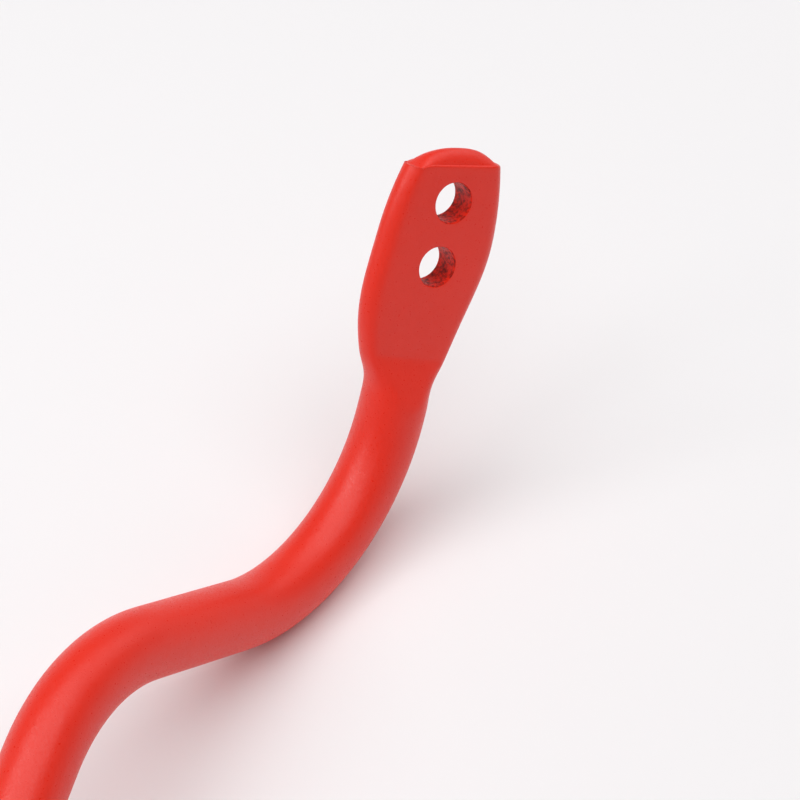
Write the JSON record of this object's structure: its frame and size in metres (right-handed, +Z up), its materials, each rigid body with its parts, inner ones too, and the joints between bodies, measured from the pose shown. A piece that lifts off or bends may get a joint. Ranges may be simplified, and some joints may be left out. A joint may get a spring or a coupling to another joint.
{
  "type": "sway bar",
  "caption": "Cranked round sway bar with flattened, drilled ends, in split bushes and pressed saddles with bolts, and clamp collars beside them.",
  "frame": {"origin": "bottom centre of the whole object, on the surface it stands on, midway between the two ends and between the saddles' rear edge and the tips of the paddles", "axes": "+X along the straight of the bar towards its right end, +Z up towards the subframe, the arms point to -Y; the bar's own axis is 102.3 mm behind the origin and 21.3 mm up"},
  "size_m": [1.0402, 0.3006, 0.1065],
  "materials": {
    "powder_coat_red": "red powder coat with a fine orange-peel texture, satin to semi-gloss",
    "bush_polyurethane": "moulded black polyurethane, satin",
    "saddle_zinc": "pressed steel, zinc plated",
    "bolt_zinc": "cold-headed steel, zinc plated",
    "collar_aluminium": "machined aluminium, clear anodised",
    "screw_black": "alloy steel, black oxide"
  },
  "bodies": {
    "bar": {"sway_bar": "powder_coat_red", "collar_top_left": "collar_aluminium", "collar_bottom_left": "collar_aluminium", "collar_screw_front_left": "screw_black", "collar_screw_rear_left": "screw_black", "collar_top_right": "collar_aluminium", "collar_bottom_right": "collar_aluminium", "collar_screw_front_right": "screw_black", "collar_screw_rear_right": "screw_black"},
    "mounting_left": {"bush_left": "bush_polyurethane", "saddle_left": "saddle_zinc", "saddle_bolt_front_left": "bolt_zinc", "saddle_washer_front_left": "bolt_zinc", "saddle_bolt_rear_left": "bolt_zinc", "saddle_washer_rear_left": "bolt_zinc"},
    "mounting_right": {"bush_right": "bush_polyurethane", "saddle_right": "saddle_zinc", "saddle_bolt_front_right": "bolt_zinc", "saddle_washer_front_right": "bolt_zinc", "saddle_bolt_rear_right": "bolt_zinc", "saddle_washer_rear_right": "bolt_zinc"}
  },
  "joints": [
    {"name": "mounting_swivel_left", "type": "hinge", "parent": "bar", "child": "mounting_left", "pos_m": [-0.28046, 0.10229, 0.0213], "axis": [1, 0, 0], "range_deg": [-30, 30]},
    {"name": "mounting_swivel_right", "type": "hinge", "parent": "bar", "child": "mounting_right", "pos_m": [0.28046, 0.10229, 0.0213], "axis": [1, 0, 0], "range_deg": [-30, 30]}
  ]
}
